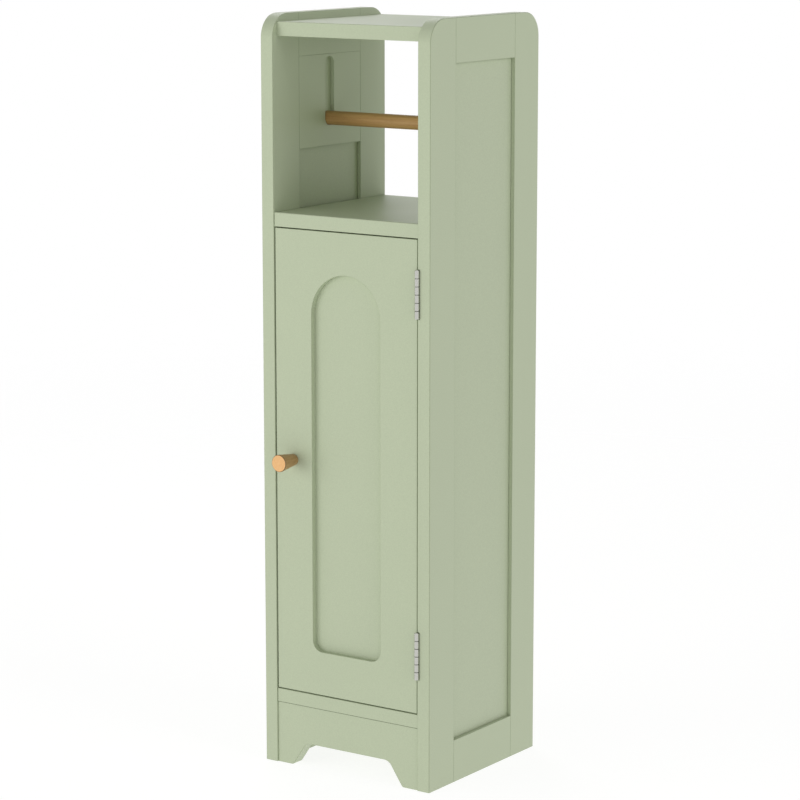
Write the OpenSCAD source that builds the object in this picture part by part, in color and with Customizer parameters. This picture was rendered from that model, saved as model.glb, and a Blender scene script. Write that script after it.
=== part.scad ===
// Slim bathroom storage cabinet: two frame-and-panel sides, an open compartment with a
// drop-in roll rod, and a closed one behind an inset door with a routed arch, two butt
// hinges and a turned wooden knob.
// Frame: +Z up, front faces -Y, origin on the floor under the middle of the whole box.

/* [Carcass] */
// Width over the two side frames
cab_w = 212; // [190:1:300]
// Depth of the side frames, front edge to rear edge
cab_d = 203; // [180:1:300]
// Height of the side frames
cab_h = 800; // [780:1:900]
// Thickness of the boards
board_t = 15; // [14:0.5:18]
// Top board: how far its face lies below the tops of the sides
top_drop = 8; // [3:0.5:14]
// Top board: how far its front and rear edges stand back from the sides
top_setback = 8; // [2:0.5:10]
// Height of the middle shelf's upper face
shelf_z = 594.8; // [540:0.1:620]
// How far shelf, bottom board and door stand back from the front edges
face_setback = 1; // [0:0.1:2]
// Radius on the front edges of the top board and the middle shelf
nose_r = 1; // [0.5:0.5:5]

/* [Side frames] */
// Width of the stiles
stile_w = 46; // [42:1:60]
// Height of the top rails
top_rail_h = 46; // [36:1:60]
// Height of the bottom rails
bottom_rail_h = 46; // [30:1:58]
// Radius of the rounded top corners
corner_r = 25; // [10:1:34]
// Thickness of the centre panels
panel_t = 6; // [4:0.5:8]
// Depth of the grooves that hold the centre panels
groove_d = 6; // [4:0.5:7]
// Distance that the grooves stop short of the stile ends
groove_stop = 14; // [8:1:20]

/* [Roll rod] */
// Diameter of the rod
rod_d = 15; // [12:0.5:18]
// Clearance between rod and slot, all round
rod_fit = 0.3; // [0.2:0.1:1]
// Clearance between each rod end and the centre panel
rod_end_gap = 0.5; // [0.3:0.1:1.5]
// How far the rod lifts in its slots
rod_lift = 57.5; // [50:0.5:60]
// Distance from the front edges to the rod's axis
rod_from_front = 100.5; // [80:0.5:120]
// Wood left between the slot and the top of the rod plate
slot_top_wood = 2.4; // [1:0.1:6]
// Height of the rod plates
rod_plate_h = 97; // [90:1:110]

/* [Apron] */
// Height of the apron, floor to bottom board
apron_h = 67; // [56:0.5:80]
// How far the apron stands back from the front edges
apron_setback = 1.5; // [0.5:0.5:5]
// Width of each foot at the floor
foot_w = 20; // [14:1:30]
// Height of the cut-out
cutout_h = 26; // [18:1:30]
// Height of the dowels in the apron's ends
apron_dowel_z = 46; // [36:1:50]
// Distance from the middle of the cabinet to the apron's upright dowels
apron_dowel_x = 56; // [40:1:68]
// Run of the cut-out's sloping sides
cutout_run = 17.5; // [8:0.5:25]
// Radius at the upper corners of the cut-out
cutout_r = 11; // [6:1:16]
// Radius at the inner corners of the feet
foot_r = 4; // [2:0.5:6]

/* [Door] */
// Thickness of the door
door_t = 15; // [14:0.5:18]
// Gap on the door's hinge side, which holds the hinge leaves
door_gap = 1.3; // [1.3:0.1:2.5]
// Gap on the door's free side
free_gap = 1.3; // [0.8:0.1:2.5]
// Gap above and below the door
end_gap = 1.1; // [0.8:0.1:2.5]
// Width of the arched recess
recess_w = 87; // [60:1:110]
// Height of the arched recess, foot to crown
recess_h = 404.5; // [300:0.5:440]
// Distance from the door's lower edge to the recess
recess_foot = 47; // [35:1:60]
// Depth of the recess
recess_depth = 6; // [3:0.5:8]
// Radius of the recess's lower corners
recess_r = 12; // [6:1:20]

/* [Knob] */
// Diameter of the knob at its free end
knob_d = 18.5; // [16:0.5:26]
// Diameter of the knob where it meets the door
knob_base_d = 12; // [11:0.5:15]
// Length of the knob
knob_len = 26.5; // [20:0.5:34]
// Radius on the rim of the free end
knob_rim_r = 1; // [0.5:0.1:2]
// Height of the knob's axis above the floor
knob_z = 334.5; // [250:0.5:420]
// Distance from the door's free edge to the knob's axis
knob_inset = 22.2; // [16:0.1:30]

/* [Hinges] */
// Length of a hinge
hinge_len = 50; // [40:1:64]
// Number of knuckles in a hinge
knuckles = 6; // [2:2:8]
// Gap between neighbouring knuckles
knuckle_gap = 0.35; // [0.2:0.05:0.6]
// Diameter of the hinge pin
hinge_pin_d = 3; // [2.5:0.1:3.6]
// Thickness of the leaves
leaf_t = 1.1; // [0.8:0.1:1.2]
// Width of the leaves behind the pin's axis
leaf_w = 12.5; // [11:0.5:14]
// How far the pin's axis stands in front of the side frames
hinge_proud = 1; // [0.5:0.1:2]
// Radius on the free corners of the leaves
leaf_r = 2; // [1:0.5:4]
// Distance between the two screws of a leaf
leaf_screw_pitch = 30; // [20:1:32]
// Distance from the pin's axis to the leaf screws
leaf_screw_y = 8.2; // [7.5:0.1:8.5]
// Length of the leaf screws
leaf_screw_len = 12; // [8:1:13]
// Distance from the door's top edge to the upper hinge
hinge_from_top = 30.8; // [20:0.1:60]
// Distance from the door's lower edge to the lower hinge
hinge_from_foot = 37; // [20:1:60]

/* [Back and inner shelf] */
// Thickness of the back panel
back_t = 3; // [2.5:0.5:4]
// Depth of the grooves that hold the back panel
back_groove = 4; // [3:0.5:6]
// Distance from the rear edges to the back panel
back_inset = 7; // [5:0.5:8]
// Height of the shelf pins' axes
pin_z = 320; // [260:1:400]
// Distance from the front or rear edges to the shelf pins
pin_from_edge = 34; // [30:1:36]
// Spacing of the holes for the shelf pins
pin_pitch = 32; // [20:1:50]
// Holes for the shelf pins in each stile
pin_holes = 3; // [1:2:5]
// Diameter of the shelf pins
shelf_pin_d = 5; // [4:0.5:6]
// Distance from the door's inner face to the inner shelf
inner_shelf_back = 8.5; // [6:0.5:20]

/* [Fittings] */
// Diameter of the cam locks
cam_d = 14.8; // [12:0.1:15]
// Distance from a board's end to the cam lock's axis
cam_reach = 24; // [22:0.5:30]
// Distance from the front or rear edge to the cam bolts
cam_from_edge = 31; // [29:0.5:32]
// Diameter of the cam bolts' threaded ends
bolt_d = 6; // [5:0.1:6.5]
// Diameter of the wooden dowels
dowel_d = 6; // [5:0.5:6]
// Length of the wooden dowels
dowel_len = 24; // [20:1:28]
// Distance from the front or rear edge to the wooden dowels
dowel_from_edge = 16; // [15.5:0.5:18]
// Distance from the middle of the cabinet to the magnetic catch
catch_x = 32; // [24:1:34]

/* [Hidden] */
$fn = 48;
eps = 0.5;                      // overshoot of cuts past a face
fit = 0.1;                      // clearance of a glued or screwed fit, per diameter
half_w = cab_w / 2;
in_x = half_w - board_t;        // inner face of a side frame
knob_proud = knob_len - face_setback;
front = (knob_proud - cab_d) / 2;
rear = front + cab_d;
recess = (board_t - panel_t) / 2;
panel_x = in_x + recess;        // inner face of a centre panel
span0 = front + stile_w;        // rails and panels lie between span0 and span1
span1 = rear - stile_w;
groove_fit = 0.5;               // room at the foot of a groove
apron_w = 2 * in_x;

top_z = cab_h - top_drop - board_t;     // undersides of the three fixed boards
mid_z = shelf_z - board_t;
bottom_z = apron_h;
board_zs = [bottom_z, mid_z, top_z];

rod_y = front + rod_from_front;
slot_r = rod_d / 2 + rod_fit;
plate_top = cab_h - top_rail_h;
slot_high = plate_top - slot_top_wood - slot_r;
rod_z = slot_high - rod_lift;

door_z0 = bottom_z + board_t + end_gap;
door_z1 = mid_z - end_gap;
door_h = door_z1 - door_z0;
door_x = in_x - door_gap;       // the door's hinge edge
door_free_x = free_gap - in_x;  // and its free edge
door_y = front + face_setback;
door_back = door_y + door_t;
recess_z0 = door_z0 + recess_foot;
knob_x = door_free_x + knob_inset;

barrel_r = hinge_pin_d / 2 + leaf_t;
pin_clear = 0.05;               // running clearance round the hinge pin
pin_dome = 0.4;                 // the pin's domed ends stand out of the barrel
seat_end = pin_dome + 0.2;      // room past each end of the barrel
relief_r = barrel_r + 0.3;
hinge_x = in_x - (door_gap - leaf_t) / 2;
hinge_y = front - hinge_proud;
upper_z = door_z1 - hinge_from_top - hinge_len / 2;
lower_z = door_z0 + hinge_from_foot + hinge_len / 2;
hinge_zs = [lower_z, upper_z];
screw_z = leaf_screw_pitch / 2;
screw_y = hinge_y + leaf_screw_y;
screw_d = 2.6;
screw_head_d = 4.7;

back_y = rear - back_inset - back_t;
pin_in = 9;                     // shelf pin in the stile, and out of it
pin_out = 8;
pin_collar_t = 1;
pin_collar_d = shelf_pin_d + 2.5;
shelf_rest = 0.05;              // between the pins and the shelf that lies on them
inner_shelf_gap = 1.5;          // at each end of the inner shelf
inner_rear_gap = 1;             // between the inner shelf and the back panel
inner_y0 = door_back + inner_shelf_back;
inner_y1 = back_y - inner_rear_gap;
inner_z = pin_z + shelf_pin_d / 2 + shelf_rest;
pin_ys = [front + pin_from_edge, rear - pin_from_edge];

cam_h = 11.8;                   // cam lock's height, and the wood over its pocket
cam_sunk = 0.4;                 // cam lock below the board's underside
cam_roof = board_t - cam_h - cam_sunk;
cam_cross = [8, 1.6, 1.4];      // arm of the driver cross: length, width, depth
bolt_in = 10;
bolt_shank_d = 5;
bolt_head_d = 6;
bolt_head_len = 3;
bolt_bore_d = 7;
dowel_in = 9;                   // dowel in the stile
dowel_slack = 0.5;              // room past each end of a dowel
apron_dowel_up = 10;            // upright dowel in the bottom board
apron_y = front + apron_setback;
edge_ys = [front, rear];

insert_d = 6.5;
insert_len = 12;
knob_screw_d = 4;
knob_hole_d = knob_screw_d + 0.4;
knob_screw_reach = 9;           // screw in the knob
knob_head_d = 8;
knob_head_t = 2.6;
head_taper = 1.5;               // a pan head is this much smaller at its crown
washer_d = 10;
washer_t = 1;

catch_w = 26;                   // magnetic catch: block, ears, magnet and poles
catch_ear = 8;
catch_d = 13;
catch_h = 12;
catch_ear_t = 3;
magnet_w = 20;
magnet_d = 9;
magnet_h = 6;
pole_t = 1.2;
pole_proud = 0.7;
strike_t = 1.2;
strike_w = 36;
strike_h = 9;
strike_r = 1.5;
strike_gap = 0.3;               // between the strike plate and the pole plates
strike_edge = 0.5;              // strike plate below the door's top edge, at least
catch_y = door_back + strike_t + strike_gap + pole_proud;
catch_mid_z = mid_z - catch_h / 2;
strike_z = min(catch_mid_z, door_z1 - strike_h / 2 - strike_edge);
small_screw_d = 2.4;
small_head_d = 4.8;
small_head_t = 1.8;
catch_screw_in = 9;             // catch screws in the shelf, strike screws in the door
strike_screw_in = 6;
screw_slack = 1;                // room past a screw's tip

sage = "#B4BFA1";
sage_inner = "#A9B496";
beech = "#D9AE78";
steel = "#C9C9C4";
zinc = "#B9BBBB";
brass = "#C8A24A";
white_plastic = "#EDEDE8";
raw_board = "#C9B08A";
ferrite = "#3A3A3C";

// ---- helpers -------------------------------------------------------------------

// Mirrors its children to the left side when s is -1
module on_side(s) { mirror([s < 0 ? 1 : 0, 0, 0]) children(); }

// Mirrors its children front to back about the middle of the side frames' depth
module at_rear() { translate([0, front + rear, 0]) mirror([0, 1, 0]) children(); }

// A box between two corners
module box(a, b) { translate(a) cube(b - a); }

// Extrudes a profile drawn in Y and Z along +X from x0
module along_x(x0, t) { translate([x0, 0, 0]) rotate([90, 0, 90]) linear_extrude(t) children(); }

// Extrudes a profile drawn in X and Z along +Y from y0
module along_y(y0, t) { translate([0, y0 + t, 0]) rotate([90, 0, 0]) linear_extrude(t) children(); }

// A round bar or bore along X, Y or Z that starts at p
module rod_x(p, d, len) { translate(p) rotate([0, 90, 0]) cylinder(d = d, h = len); }
module rod_y(p, d, len) { translate(p) rotate([-90, 0, 0]) cylinder(d = d, h = len); }
module rod_up(p, d, len) { translate(p) cylinder(d = d, h = len); }

// A rectangle with four round corners, centred
module round_rect(w, h, r) {
    square([w, h - 2 * r], center = true);
    square([w - 2 * r, h], center = true);
    for (x = [-1, 1], y = [-1, 1]) translate([x * (w / 2 - r), y * (h / 2 - r)]) circle(r);
}

// A board across the cabinet: side profile in Y and Z with rounded front edges
module nosed_profile(y0, y1, z0, t, r) {
    translate([y0, z0 + r]) square([y1 - y0, t - 2 * r]);
    translate([y0 + r, z0]) square([y1 - y0 - r, t]);
    for (z = [z0 + r, z0 + t - r]) translate([y0 + r, z]) circle(r);
}

// ---- side frames ---------------------------------------------------------------

module stile_profile() {
    difference() {
        translate([front, 0]) square([stile_w, cab_h]);
        difference() {
            translate([front - eps, cab_h - corner_r]) square([corner_r + eps, corner_r + eps]);
            translate([front + corner_r, cab_h - corner_r]) circle(corner_r, $fn = 96);
        }
    }
}

// Holes that every stile has, drawn for the right front one
module stile_bores() {
    for (z = board_zs) {
        rod_x([in_x - eps, front + cam_from_edge, z + board_t / 2], bolt_d + fit,
              bolt_in + dowel_slack + eps);
        rod_x([in_x - eps, front + dowel_from_edge, z + board_t / 2], dowel_d + fit,
              dowel_in + dowel_slack + eps);
    }
    for (i = [0 : pin_holes - 1])
        rod_x([in_x - eps, pin_ys[0], pin_z + (i - (pin_holes - 1) / 2) * pin_pitch],
              shelf_pin_d + fit, pin_in + dowel_slack + eps);
}

module panel_groove() {
    box([panel_x - fit, span0 - groove_d, groove_stop],
        [panel_x + panel_t + fit, span0 + eps, cab_h - groove_stop]);
}

module plain_stile() {
    difference() {
        along_x(in_x, board_t) stile_profile();
        panel_groove();
        stile_bores();
    }
}

// The front stiles also take the apron's dowels
module front_stile() {
    difference() {
        plain_stile();
        rod_x([in_x - eps, apron_y + board_t / 2, apron_dowel_z], dowel_d + fit,
              dowel_in + dowel_slack + eps);
    }
}

// The rear stiles also hold the back panel
module rear_stile() {
    difference() {
        at_rear() plain_stile();
        box([in_x - eps, back_y - fit, bottom_z + board_t - back_groove],
            [in_x + back_groove, back_y + back_t + fit, mid_z + back_groove]);
    }
}

// Seats for the hinge barrels, leaves and screws in the right front stile
module stile_hinge_seats() {
    for (z = hinge_zs) {
        box([in_x - eps, front - eps, z - hinge_len / 2 - fit],
            [in_x + leaf_t, hinge_y + leaf_w + fit, z + hinge_len / 2 + fit]);
        rod_up([hinge_x, hinge_y, z - hinge_len / 2 - seat_end], 2 * relief_r,
               hinge_len + 2 * seat_end);
        for (k = [-1, 1])
            rod_x([in_x, screw_y, z + k * screw_z], screw_d + fit, leaf_screw_len + fit);
    }
}

// A rail with a stub tenon at each end; groove is on its lower or upper edge
module rail(z0, h, top) {
    tenon = groove_d - groove_fit;
    tz0 = top ? z0 + groove_d : groove_stop;
    tz1 = top ? cab_h - groove_stop : z0 + h - groove_d;
    gz = top ? z0 : z0 + h - groove_d;
    difference() {
        union() {
            box([in_x, span0, z0], [half_w, span1, z0 + h]);
            box([panel_x, span0 - tenon, tz0], [panel_x + panel_t, span1 + tenon, tz1]);
        }
        box([panel_x - fit, span0 - groove_d, gz - (top ? eps : 0)],
            [panel_x + panel_t + fit, span1 + groove_d, gz + groove_d + (top ? 0 : eps)]);
    }
}

module centre_panel() {
    edge = groove_d - groove_fit;
    box([panel_x, span0 - edge, bottom_rail_h - edge],
        [panel_x + panel_t, span1 + edge, cab_h - top_rail_h + edge]);
}

// Flush filler under the top rail; its slot takes one end of the rod, the panel is its floor
module rod_plate() {
    difference() {
        box([in_x, span0 + fit, plate_top - rod_plate_h], [panel_x, span1 - fit, plate_top]);
        along_x(in_x - eps, recess + 2 * eps) {
            for (z = [rod_z, slot_high]) translate([rod_y, z]) circle(slot_r);
            translate([rod_y - slot_r, rod_z]) square([2 * slot_r, rod_lift]);
        }
    }
}

// ---- boards --------------------------------------------------------------------

// Pockets and bores for the cam locks and dowels at both ends of a board
module board_bores(z0) {
    for (s = [1, -1], e = [0, 1]) on_side(s) {
        dir = e == 0 ? 1 : -1;
        cy = edge_ys[e] + dir * cam_from_edge;
        dy = edge_ys[e] + dir * dowel_from_edge;
        rod_up([in_x - cam_reach, cy, z0 - eps], cam_d + fit, board_t - cam_roof + eps);
        rod_x([in_x - cam_reach, cy, z0 + board_t / 2], bolt_bore_d, cam_reach + eps);
        rod_x([in_x - (dowel_len - dowel_in) - dowel_slack, dy, z0 + board_t / 2],
              dowel_d + fit, dowel_len);
    }
}

module top_board() {
    color(sage) difference() {
        along_x(-in_x, 2 * in_x)
            nosed_profile(front + top_setback, rear - top_setback, top_z, board_t, nose_r);
        board_bores(top_z);
    }
}

module middle_shelf() {
    color(sage) difference() {
        along_x(-in_x, 2 * in_x)
            nosed_profile(front + face_setback, rear - face_setback, mid_z, board_t, nose_r);
        board_bores(mid_z);
        box([-in_x - eps, back_y - fit, mid_z - eps],
            [in_x + eps, back_y + back_t + fit, mid_z + back_groove]);
        for (k = [-1, 1])
            rod_up([catch_screw_x(k), catch_y + catch_d / 2, mid_z - eps],
                   small_screw_d + fit, catch_screw_in + screw_slack + eps);
    }
}

module bottom_board() {
    color(sage) difference() {
        box([-in_x, front + face_setback, bottom_z],
            [in_x, rear - face_setback, bottom_z + board_t]);
        board_bores(bottom_z);
        box([-in_x - eps, back_y - fit, bottom_z + board_t - back_groove],
            [in_x + eps, back_y + back_t + fit, bottom_z + board_t + eps]);
        for (s = [-1, 1])
            rod_up([s * apron_dowel_x, apron_y + board_t / 2, bottom_z - eps],
                   dowel_d + fit, apron_dowel_up + dowel_slack + eps);
    }
}

function unit(v) = v / norm(v);

// Points of the arc that rounds the corner b between a and c
function rounded(a, b, c, r, steps = 10) =
    let (u = unit(a - b), v = unit(c - b), half = acos(u * v) / 2,
         centre = b + unit(u + v) * r / sin(half),
         p = b + u * r / tan(half) - centre, q = b + v * r / tan(half) - centre,
         start = atan2(p[1], p[0]), sweep = atan2(p[0] * q[1] - p[1] * q[0], p * q))
    [for (i = [0 : steps]) centre + r * [cos(start + sweep * i / steps), sin(start + sweep * i / steps)]];

// Front view of the apron: two feet and a flat-topped cut-out with sloping sides
module apron_profile() {
    corner = [in_x, 0];
    foot = [in_x - foot_w, 0];
    shoulder = [in_x - foot_w - cutout_run, cutout_h];
    middle = [0, cutout_h];
    right = concat([[in_x, apron_h], corner], rounded(corner, foot, shoulder, foot_r),
                   rounded(foot, shoulder, middle, cutout_r));
    left = [for (i = [len(right) - 1 : -1 : 0]) [-right[i][0], right[i][1]]];
    polygon(concat(right, left));
}

module apron() {
    color(sage) difference() {
        along_y(apron_y, board_t) apron_profile();
        for (s = [-1, 1]) {
            rod_up([s * apron_dowel_x, apron_y + board_t / 2,
                    apron_h - (dowel_len - apron_dowel_up) - dowel_slack],
                   dowel_d + fit, dowel_len);
            on_side(s) rod_x([in_x - (dowel_len - dowel_in) - dowel_slack,
                              apron_y + board_t / 2, apron_dowel_z], dowel_d + fit, dowel_len);
        }
    }
}

module back_panel() {
    edge = back_groove - groove_fit;
    color(sage_inner) box([-in_x - edge, back_y, bottom_z + board_t - edge],
                          [in_x + edge, back_y + back_t, mid_z + edge]);
}

module inner_shelf() {
    color(sage_inner) box([-in_x + inner_shelf_gap, inner_y0, inner_z],
                          [in_x - inner_shelf_gap, inner_y1, inner_z + board_t]);
}

// ---- fittings of the carcass ---------------------------------------------------

module shelf_pins() {
    color(steel) for (s = [1, -1], y = pin_ys) on_side(s) {
        rod_x([in_x - pin_out, y, pin_z], shelf_pin_d, pin_out + pin_in);
        rod_x([in_x - pin_collar_t, y, pin_z], pin_collar_d, pin_collar_t);
    }
}

module cam_bolt() {
    rod_x([0, 0, 0], bolt_d, bolt_in);
    rod_x([-cam_reach, 0, 0], bolt_shank_d, cam_reach + eps);
    rod_x([-cam_reach - bolt_head_len / 2, 0, 0], bolt_head_d, bolt_head_len);
}

module cam_bolts() {
    color(zinc) for (z = board_zs, s = [1, -1], e = [0, 1]) on_side(s)
        translate([in_x, edge_ys[e] + (e == 0 ? 1 : -1) * cam_from_edge, z + board_t / 2])
            cam_bolt();
}

// The lock turns in its pocket; the channel lets the bolt's head in, the cross takes a driver
module cam_lock() {
    difference() {
        translate([0, 0, -cam_h]) cylinder(d = cam_d, h = cam_h);
        rod_x([-bolt_head_d / 2, 0, cam_roof - board_t / 2], bolt_head_d + 1, cam_d);
        for (a = [0, 90]) rotate(a)
            translate([0, 0, cam_cross[2] / 2 - cam_h - eps / 2])
                cube(cam_cross + [0, 0, eps], center = true);
    }
}
module cam_locks() {
    color(zinc) for (z = board_zs, s = [1, -1], e = [0, 1]) on_side(s)
        translate([in_x - cam_reach, edge_ys[e] + (e == 0 ? 1 : -1) * cam_from_edge,
                   z + board_t - cam_roof]) cam_lock();
}

module wooden_dowels() {
    color(beech) {
        for (z = board_zs, s = [1, -1], e = [0, 1]) on_side(s)
            rod_x([in_x + dowel_in - dowel_len,
                   edge_ys[e] + (e == 0 ? 1 : -1) * dowel_from_edge, z + board_t / 2],
                  dowel_d, dowel_len);
        for (s = [1, -1]) {
            on_side(s) rod_x([in_x + dowel_in - dowel_len, apron_y + board_t / 2,
                              apron_dowel_z], dowel_d, dowel_len);
            rod_up([s * apron_dowel_x, apron_y + board_t / 2,
                    apron_h + apron_dowel_up - dowel_len], dowel_d, dowel_len);
        }
    }
}

// ---- roll rod ------------------------------------------------------------------

module roll_rod() {
    len = 2 * (panel_x - rod_end_gap);
    bevel = 1;
    color(beech) translate([-len / 2, rod_y, rod_z]) rotate([0, 90, 0]) {
        translate([0, 0, bevel]) cylinder(d = rod_d, h = len - 2 * bevel);
        cylinder(d1 = rod_d - 2 * bevel, d2 = rod_d, h = bevel);
        translate([0, 0, len - bevel])
            cylinder(d1 = rod_d, d2 = rod_d - 2 * bevel, h = bevel);
    }
}

// ---- door ----------------------------------------------------------------------

// Front view of the routed recess: round crown, small radii at the foot
module recess_profile() {
    crown = recess_z0 + recess_h - recess_w / 2;
    translate([0, crown]) circle(recess_w / 2, $fn = 128);
    translate([-recess_w / 2, recess_z0 + recess_r]) square([recess_w, crown - recess_z0 - recess_r]);
    translate([-recess_w / 2 + recess_r, recess_z0]) square([recess_w - 2 * recess_r, recess_r]);
    for (s = [-1, 1]) translate([s * (recess_w / 2 - recess_r), recess_z0 + recess_r])
        circle(recess_r);
}

module door() {
    color(sage) difference() {
        box([door_free_x, door_y, door_z0], [door_x, door_back, door_z1]);
        along_y(door_y - eps, recess_depth + eps) recess_profile();
        rod_y([knob_x, door_y - eps, knob_z], knob_hole_d, door_t + 2 * eps);
        for (z = hinge_zs) {
            rod_up([hinge_x, hinge_y, z - hinge_len / 2 - seat_end], 2 * relief_r,
                   hinge_len + 2 * seat_end);
            for (k = [-1, 1])
                rod_x([door_x - leaf_screw_len, screw_y, z + k * screw_z], screw_d + fit,
                      leaf_screw_len + eps);
        }
        for (k = [-1, 1])
            rod_y([catch_screw_x(k), door_back - strike_screw_in - screw_slack, strike_z],
                  small_screw_d + fit, strike_screw_in + screw_slack + eps);
    }
}

module knob() {
    rb = knob_base_d / 2;
    re = knob_d / 2;
    color(beech) translate([knob_x, door_y, knob_z]) rotate([90, 0, 0]) difference() {
        rotate_extrude($fn = 64) {
            polygon([[0, 0], [rb, 0], [re, knob_len - knob_rim_r],
                     [re - knob_rim_r, knob_len - knob_rim_r], [re - knob_rim_r, knob_len],
                     [0, knob_len]]);
            translate([re - knob_rim_r, knob_len - knob_rim_r])
                intersection() { circle(knob_rim_r, $fn = 24); square(knob_rim_r); }
        }
        translate([0, 0, -eps]) cylinder(d = insert_d + fit, h = insert_len + fit + eps);
    }
}

module knob_insert() {
    color(brass) translate([knob_x, door_y, knob_z]) rotate([90, 0, 0]) difference() {
        cylinder(d = insert_d, h = insert_len);
        translate([0, 0, -eps]) cylinder(d = knob_screw_d + fit, h = insert_len + 2 * eps);
    }
}

module knob_screw() {
    color(zinc) translate([knob_x, door_back + washer_t, knob_z]) rotate([90, 0, 0]) {
        cylinder(d = knob_screw_d, h = door_t + washer_t + knob_screw_reach);
        translate([0, 0, -knob_head_t])
            cylinder(d1 = knob_head_d - head_taper, d2 = knob_head_d, h = knob_head_t);
    }
}

module knob_washer() {
    color(zinc) translate([knob_x, door_back, knob_z]) rotate([-90, 0, 0]) difference() {
        cylinder(d = washer_d, h = washer_t);
        translate([0, 0, -eps]) cylinder(d = knob_screw_d + fit, h = washer_t + 2 * eps);
    }
}

// ---- hinges --------------------------------------------------------------------

// A leaf's plate in Y and Z, from the pin's axis to two rounded corners
module leaf_profile() {
    translate([0, -hinge_len / 2]) square([leaf_w - leaf_r, hinge_len]);
    translate([0, leaf_r - hinge_len / 2]) square([leaf_w, hinge_len - 2 * leaf_r]);
    for (s = [-1, 1]) translate([leaf_w - leaf_r, s * (hinge_len / 2 - leaf_r)]) circle(leaf_r);
}

// One leaf seen from the pin's axis, middle at z = 0. Its plate lies on the +X side, runs to
// +Y, and carries every second knuckle: the even ones when odd is 0, the others when it is 1.
module hinge_leaf(odd, plate_x) {
    pitch = hinge_len / knuckles;
    difference() {
        union() {
            along_x(plate_x, leaf_t) leaf_profile();
            for (i = [odd : 2 : knuckles - 1])
                rod_up([0, 0, -hinge_len / 2 + i * pitch + knuckle_gap / 2], 2 * barrel_r,
                       pitch - knuckle_gap);
        }
        rod_up([0, 0, -hinge_len / 2 - eps], hinge_pin_d + 2 * pin_clear, hinge_len + 2 * eps);
        for (i = [1 - odd : 2 : knuckles - 1])
            rod_up([0, 0, -hinge_len / 2 + i * pitch - knuckle_gap / 2], 2 * relief_r,
                   pitch + knuckle_gap);
        for (k = [-1, 1]) translate([plate_x, screw_y - hinge_y, k * screw_z])
            rotate([0, 90, 0]) leaf_countersink();
    }
}

// Countersunk hole with its wide end on the leaf's inner face
module leaf_countersink() {
    cone = (screw_head_d - screw_d) / 2;
    translate([0, 0, -eps]) cylinder(d = screw_d + fit, h = leaf_t + 2 * eps);
    cylinder(d1 = screw_head_d + fit, d2 = screw_d + fit, h = cone);
}

module hinge_pin() {
    tip_d = hinge_pin_d - 2 * pin_dome;
    translate([0, 0, -hinge_len / 2]) {
        cylinder(d = hinge_pin_d, h = hinge_len);
        translate([0, 0, hinge_len]) cylinder(d1 = hinge_pin_d, d2 = tip_d, h = pin_dome);
        translate([0, 0, -pin_dome]) cylinder(d1 = tip_d, d2 = hinge_pin_d, h = pin_dome);
    }
}

module frame_leaf(z) {
    color(steel) translate([hinge_x, hinge_y, z]) hinge_leaf(0, in_x - hinge_x);
}

module door_leaf(z) {
    color(steel) translate([hinge_x, hinge_y, z]) mirror([1, 0, 0])
        hinge_leaf(1, hinge_x - door_x - leaf_t);
}

module leaf_screw() {
    cone = (screw_head_d - screw_d) / 2;
    cylinder(d1 = screw_head_d, d2 = screw_d, h = cone);
    cylinder(d = screw_d, h = leaf_screw_len);
}

module frame_leaf_screws() {
    color(steel) for (z = hinge_zs, k = [-1, 1])
        translate([in_x, screw_y, z + k * screw_z]) rotate([0, 90, 0]) leaf_screw();
}

module door_leaf_screws() {
    color(steel) for (z = hinge_zs, k = [-1, 1])
        translate([door_x + leaf_t, screw_y, z + k * screw_z]) rotate([0, -90, 0]) leaf_screw();
}

// ---- magnetic catch ------------------------------------------------------------

function catch_screw_x(k) = -catch_x + k * (catch_w / 2 + catch_ear / 2);

module catch_housing() {
    color(white_plastic) difference() {
        union() {
            box([-catch_x - catch_w / 2, catch_y, mid_z - catch_h],
                [-catch_x + catch_w / 2, catch_y + catch_d, mid_z]);
            box([-catch_x - catch_w / 2 - catch_ear, catch_y, mid_z - catch_ear_t],
                [-catch_x + catch_w / 2 + catch_ear, catch_y + catch_d, mid_z]);
        }
        box([-catch_x - magnet_w / 2 - fit, catch_y - eps, catch_mid_z - magnet_h / 2 - pole_t - fit],
            [-catch_x + magnet_w / 2 + fit, catch_y + magnet_d + fit,
             catch_mid_z + magnet_h / 2 + pole_t + fit]);
        for (k = [-1, 1])
            rod_up([catch_screw_x(k), catch_y + catch_d / 2, mid_z - catch_h],
                   small_screw_d + 2 * fit, catch_h + eps);
    }
}

module catch_magnet() {
    color(ferrite) box([-catch_x - magnet_w / 2, catch_y, catch_mid_z - magnet_h / 2],
                       [-catch_x + magnet_w / 2, catch_y + magnet_d, catch_mid_z + magnet_h / 2]);
}

module catch_pole_plates() {
    color(steel) for (z = [catch_mid_z - magnet_h / 2 - pole_t, catch_mid_z + magnet_h / 2])
        box([-catch_x - magnet_w / 2, catch_y - pole_proud, z],
            [-catch_x + magnet_w / 2, catch_y + magnet_d, z + pole_t]);
}

module catch_screws() {
    color(zinc) for (k = [-1, 1])
        translate([catch_screw_x(k), catch_y + catch_d / 2, mid_z - catch_ear_t]) {
            cylinder(d = small_screw_d, h = catch_ear_t + catch_screw_in);
            translate([0, 0, -small_head_t])
                cylinder(d1 = small_head_d - head_taper, d2 = small_head_d, h = small_head_t);
        }
}

module strike_plate() {
    color(steel) difference() {
        along_y(door_back, strike_t) translate([-catch_x, strike_z])
            round_rect(strike_w, strike_h, strike_r);
        for (k = [-1, 1]) translate([catch_screw_x(k), door_back, strike_z])
            rotate([-90, 0, 0]) {
                translate([0, 0, -eps]) cylinder(d = small_screw_d + fit, h = strike_t + 2 * eps);
                cylinder(d1 = small_screw_d + fit, d2 = small_head_d + fit, h = strike_t);
            }
    }
}

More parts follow.
